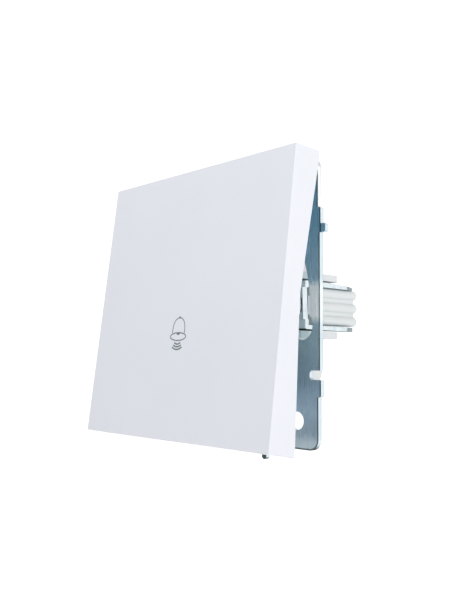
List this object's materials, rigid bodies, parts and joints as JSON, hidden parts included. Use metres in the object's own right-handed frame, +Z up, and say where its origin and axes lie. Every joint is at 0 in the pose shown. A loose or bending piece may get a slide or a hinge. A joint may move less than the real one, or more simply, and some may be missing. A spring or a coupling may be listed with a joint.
{
  "type": "doorbell push button",
  "caption": "Flush doorbell push: a square rocking key plate in front of a stamped steel support ring, with a ribbed contact block and spreader claws behind it.",
  "frame": {"origin": "centre of the support ring's back face, which lies on the wall, on the axis of the fixing circle", "axes": "X to the right seen from the room, Y from the room into the wall, Z up"},
  "size_m": [0.074, 0.0478, 0.0796],
  "materials": {
    "key_white": "satin moulded plastic",
    "body_grey": "matt moulded plastic",
    "plunger_white": "matt moulded plastic",
    "zinc_steel": "bright zinc plated sheet",
    "screw_steel": "zinc plated",
    "spring_steel": "drawn wire",
    "brass": "stamped, uncoated",
    "contact_silver": "silver tip"
  },
  "bodies": {
    "frame": {"front_cover": "body_grey", "support_ring": "zinc_steel", "housing": "body_grey", "rivets": "zinc_steel", "fixed_contacts": "contact_silver", "return_spring": "spring_steel", "claw_screw_right": "screw_steel", "claw_screw_left": "screw_steel", "claw_nut_right": "screw_steel", "claw_nut_left": "screw_steel", "contact_strip_right": "brass", "contact_strip_left": "brass", "terminal_cage_right": "brass", "terminal_cage_left": "brass", "terminal_screw_right": "screw_steel", "terminal_screw_left": "screw_steel"},
    "key": {"key_plate": "key_white", "rocker": "body_grey"},
    "plunger": {"plunger": "plunger_white", "contact_bridge": "brass", "moving_contacts": "contact_silver"},
    "claw_right": {"claw_right": "zinc_steel"},
    "claw_left": {"claw_left": "zinc_steel"}
  },
  "joints": [
    {"name": "key_press", "type": "hinge", "parent": "frame", "child": "key", "pos_m": [0, -0.00815, 0], "axis": [1, 0, 0], "range_deg": [0, 7.3], "stiffness_Nm_per_rad": 0.39, "springref_deg": -4.41},
    {"name": "plunger_slide", "type": "slide", "parent": "frame", "child": "plunger", "axis": [0, 1, 0], "range_m": [0, 0.0016], "deforming": ["return_spring"]},
    {"name": "claw_right_swing", "type": "hinge", "parent": "frame", "child": "claw_right", "pos_m": [0.0201, 0.0056, 0], "axis": [0, 0, -1], "range_deg": [0, 18]},
    {"name": "claw_left_swing", "type": "hinge", "parent": "frame", "child": "claw_left", "pos_m": [-0.0201, 0.0056, 0], "axis": [0, 0, 1], "range_deg": [0, 18]}
  ],
  "couplings": [
    {"joint": "plunger_slide", "follows": "key_press", "m_per_rad": 0.012}
  ]
}
